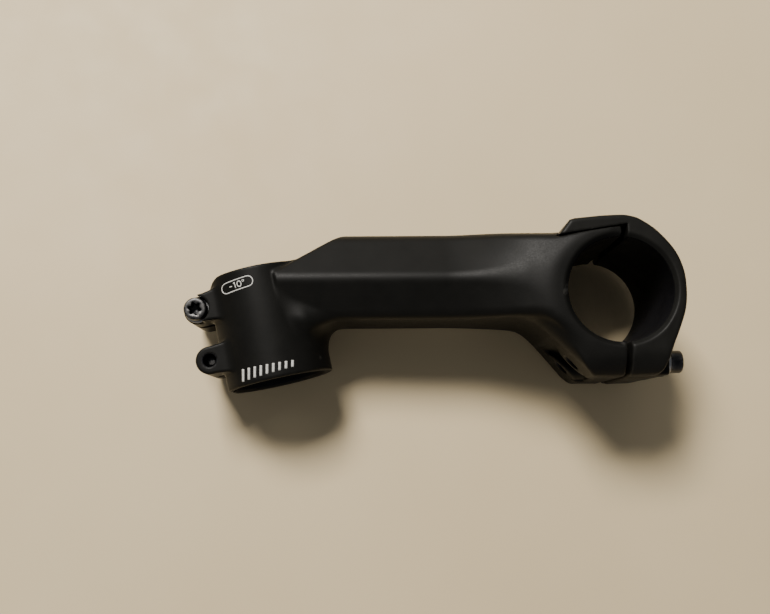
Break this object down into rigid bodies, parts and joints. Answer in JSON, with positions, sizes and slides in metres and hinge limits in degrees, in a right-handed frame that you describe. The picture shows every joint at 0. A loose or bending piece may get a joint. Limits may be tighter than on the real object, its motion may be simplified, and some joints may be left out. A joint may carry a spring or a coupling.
{
  "type": "handlebar stem",
  "caption": "Forged bicycle stem with a slotted steerer clamp, a hollow extension and a hooked faceplate that closes a round handlebar clamp.",
  "frame": {"origin": "on the steerer axis, where the line through the handlebar axis parallel to the extension crosses it, in the stem's middle plane", "axes": "+X forward along the extension towards the handlebar, +Y towards the stem's top side, +Z along the handlebar axis; the stem lies on its left side, as it was set down"},
  "size_m": [0.1543, 0.0515, 0.046],
  "materials": {
    "body_paint": "satin black fine-textured coating on forged aluminium",
    "faceplate_paint": "satin black fine-textured coating on forged aluminium",
    "bolt_steel": "black oxide steel, a little worn at the edges",
    "washer_steel": "bare zinc-plated steel"
  },
  "bodies": {
    "stem": {"stem_body": "body_paint"},
    "faceplate": {"faceplate": "faceplate_paint"},
    "clamp_bolt_right": {"clamp_bolt_right": "bolt_steel"},
    "clamp_bolt_left": {"clamp_bolt_left": "bolt_steel"},
    "clamp_washer_right": {"clamp_washer_right": "washer_steel"},
    "clamp_washer_left": {"clamp_washer_left": "washer_steel"},
    "pinch_bolt_upper": {"pinch_bolt_upper": "bolt_steel"},
    "pinch_bolt_lower": {"pinch_bolt_lower": "bolt_steel"},
    "pinch_washer_upper": {"pinch_washer_upper": "washer_steel"},
    "pinch_washer_lower": {"pinch_washer_lower": "washer_steel"}
  },
  "joints": [
    {"name": "clamp_bolt_right_travel", "type": "slide", "parent": "stem", "child": "clamp_washer_right", "axis": [1, 0, 0], "range_m": [0, 0.00083]},
    {"name": "clamp_bolt_right_turn", "type": "hinge", "parent": "clamp_washer_right", "child": "clamp_bolt_right", "pos_m": [0.1268, -0.0209, 0.0085], "axis": [1, 0, 0], "range_deg": [0, 431]},
    {"name": "clamp_bolt_left_travel", "type": "slide", "parent": "stem", "child": "clamp_washer_left", "axis": [1, 0, 0], "range_m": [0, 0.00084]},
    {"name": "clamp_bolt_left_turn", "type": "hinge", "parent": "clamp_washer_left", "child": "clamp_bolt_left", "pos_m": [0.1268, -0.0209, -0.0085], "axis": [1, 0, 0], "range_deg": [0, 431]},
    {"name": "faceplate_swing", "type": "hinge", "parent": "stem", "child": "faceplate", "pos_m": [0.102, 0.01835, 0], "axis": [0, 0, 1], "range_deg": [0, 1.08]},
    {"name": "pinch_bolt_upper_travel", "type": "slide", "parent": "stem", "child": "pinch_washer_upper", "axis": [0, 0, 1], "range_m": [0, 0.0083]},
    {"name": "pinch_bolt_upper_turn", "type": "hinge", "parent": "pinch_washer_upper", "child": "pinch_bolt_upper", "pos_m": [-0.01922, -0.00385, 0.009], "axis": [0, 0, 1], "range_deg": [0, 4310]},
    {"name": "pinch_bolt_lower_travel", "type": "slide", "parent": "stem", "child": "pinch_washer_lower", "axis": [0, 0, -1], "range_m": [0, 0.0083]},
    {"name": "pinch_bolt_lower_turn", "type": "hinge", "parent": "pinch_washer_lower", "child": "pinch_bolt_lower", "pos_m": [-0.01436, -0.01978, -0.009], "axis": [0, 0, -1], "range_deg": [0, 4310]}
  ],
  "couplings": [
    {"joint": "clamp_bolt_right_turn", "follows": "clamp_bolt_right_travel", "rad_per_m": 8976},
    {"joint": "clamp_bolt_left_travel", "follows": "clamp_bolt_right_travel", "ratio": 1},
    {"joint": "clamp_bolt_left_turn", "follows": "clamp_bolt_right_travel", "rad_per_m": 8976},
    {"joint": "faceplate_swing", "follows": "clamp_bolt_right_travel", "rad_per_m": 22.44},
    {"joint": "pinch_bolt_upper_turn", "follows": "pinch_bolt_upper_travel", "rad_per_m": 8976},
    {"joint": "pinch_bolt_lower_turn", "follows": "pinch_bolt_lower_travel", "rad_per_m": 8976}
  ]
}
